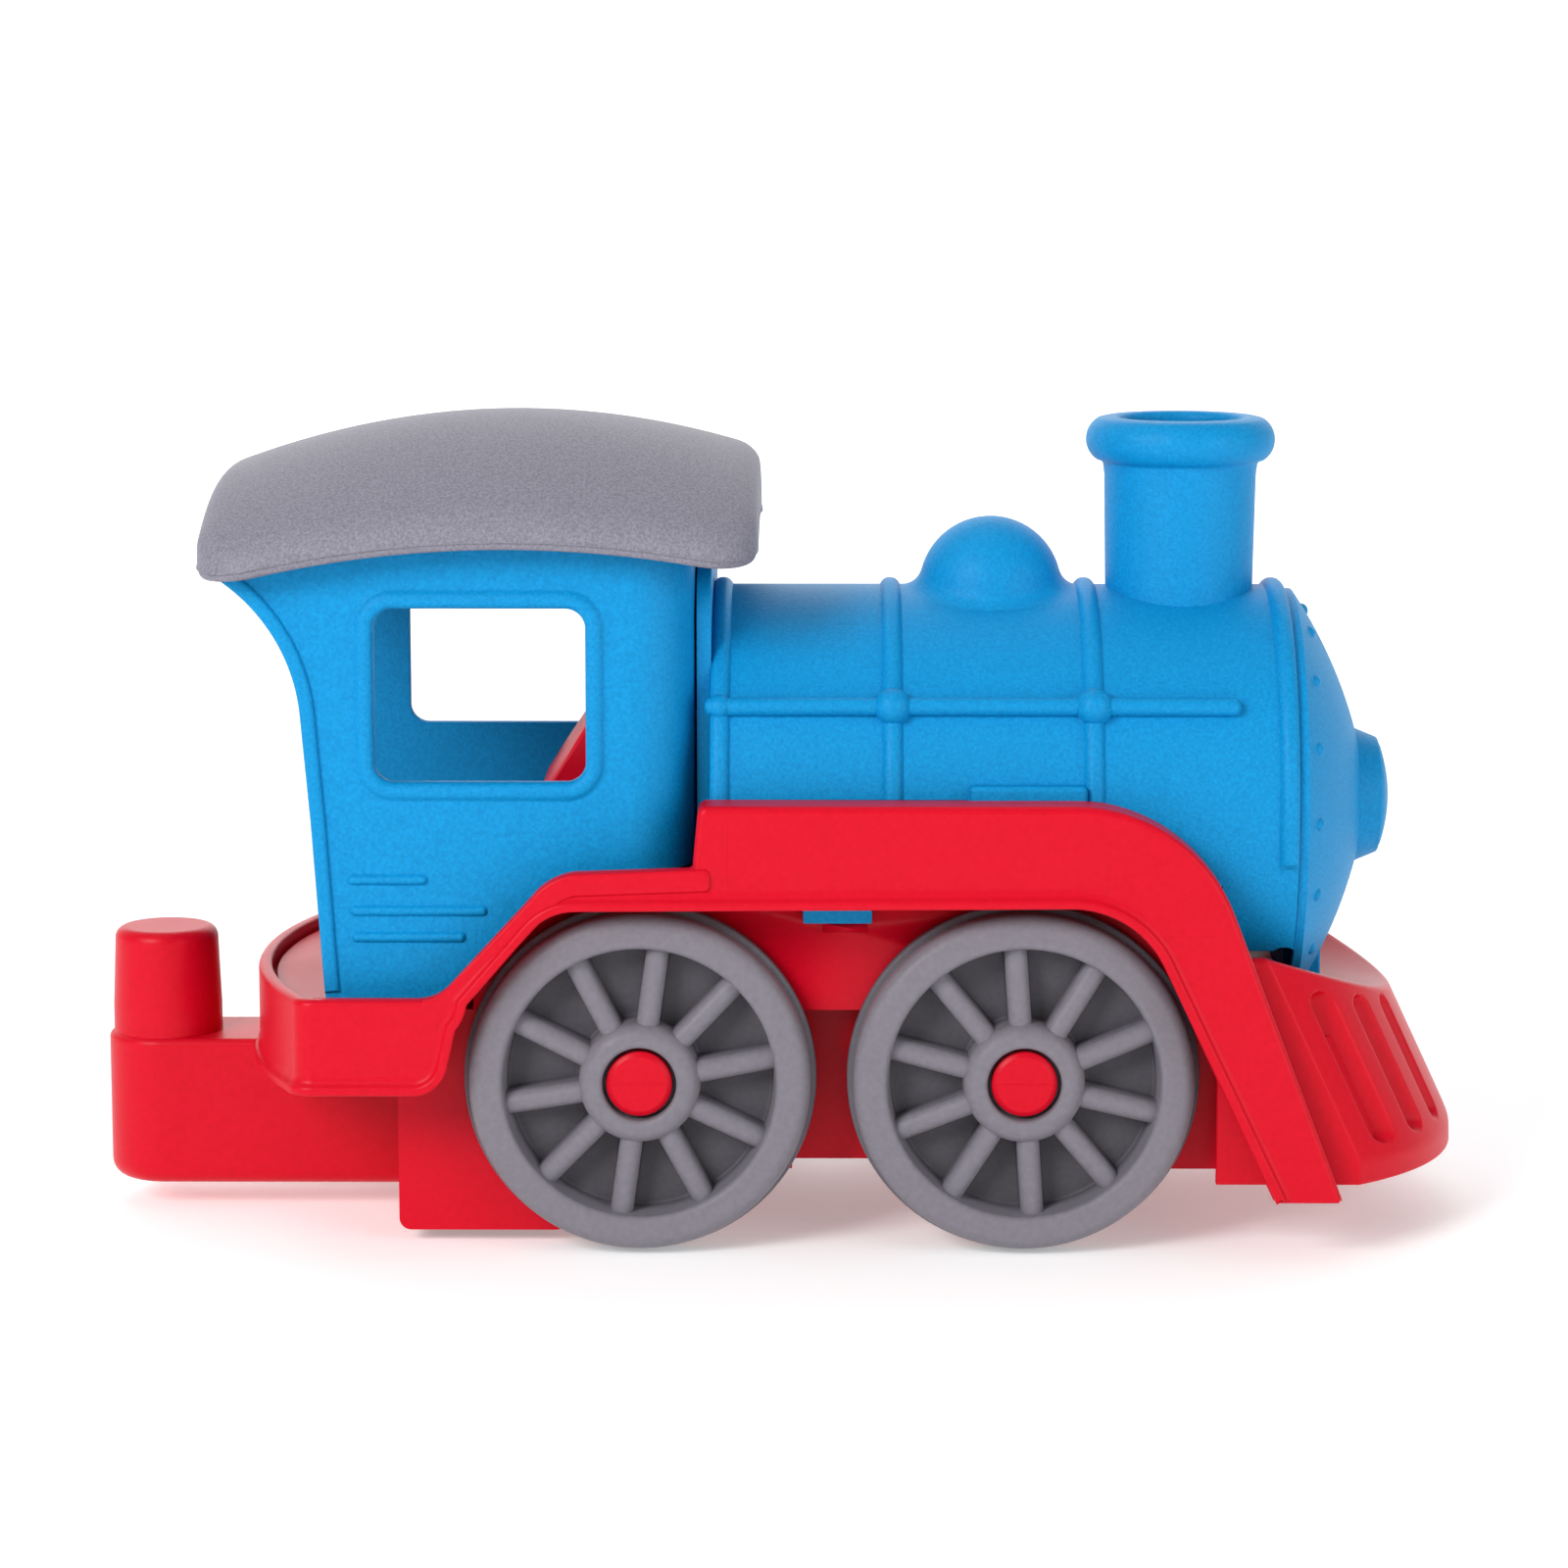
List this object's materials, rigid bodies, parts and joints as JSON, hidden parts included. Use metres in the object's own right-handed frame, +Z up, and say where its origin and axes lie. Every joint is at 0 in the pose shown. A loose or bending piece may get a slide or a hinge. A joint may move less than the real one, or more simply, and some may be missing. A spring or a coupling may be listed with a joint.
{
  "type": "toy train locomotive",
  "caption": "Chunky plastic push-along toy steam engine: open cab with arched canopy, round boiler, chimney, free-rolling spoked wheels and a rear coupling post.",
  "frame": {"origin": "on the ground under the middle of the engine's length and width", "axes": "+X towards the front of the engine, +Y to its left side, +Z up"},
  "size_m": [0.2636, 0.1048, 0.156],
  "materials": {
    "blue_plastic": "satin with a fine moulded grain",
    "red_plastic": "smooth satin",
    "grey_plastic": "satin with a fine grain"
  },
  "bodies": {
    "chassis": {"underframe": "red_plastic", "running_board": "red_plastic", "cowcatcher": "red_plastic", "cab_shell": "blue_plastic", "roof": "grey_plastic", "backhead": "red_plastic", "boiler_shell": "blue_plastic", "smokebox_front": "blue_plastic", "chimney": "blue_plastic", "axle_pin_front_left": "red_plastic", "axle_pin_front_right": "red_plastic", "axle_pin_rear_left": "red_plastic", "axle_pin_rear_right": "red_plastic"},
    "wheelset_front_left": {"wheel_front_left": "grey_plastic"},
    "wheelset_front_right": {"wheel_front_right": "grey_plastic"},
    "wheelset_rear_left": {"wheel_rear_left": "grey_plastic"},
    "wheelset_rear_right": {"wheel_rear_right": "grey_plastic"}
  },
  "joints": [
    {"name": "front_left_wheel_spin", "type": "hinge", "parent": "chassis", "child": "wheelset_front_left", "pos_m": [0.0463, 0.0425, 0.0332], "axis": [0, 1, 0], "continuous": true},
    {"name": "front_right_wheel_spin", "type": "hinge", "parent": "chassis", "child": "wheelset_front_right", "pos_m": [0.0463, -0.0425, 0.0332], "axis": [0, 1, 0], "continuous": true},
    {"name": "rear_left_wheel_spin", "type": "hinge", "parent": "chassis", "child": "wheelset_rear_left", "pos_m": [-0.0258, 0.0425, 0.0332], "axis": [0, 1, 0], "continuous": true},
    {"name": "rear_right_wheel_spin", "type": "hinge", "parent": "chassis", "child": "wheelset_rear_right", "pos_m": [-0.0258, -0.0425, 0.0332], "axis": [0, 1, 0], "continuous": true}
  ]
}
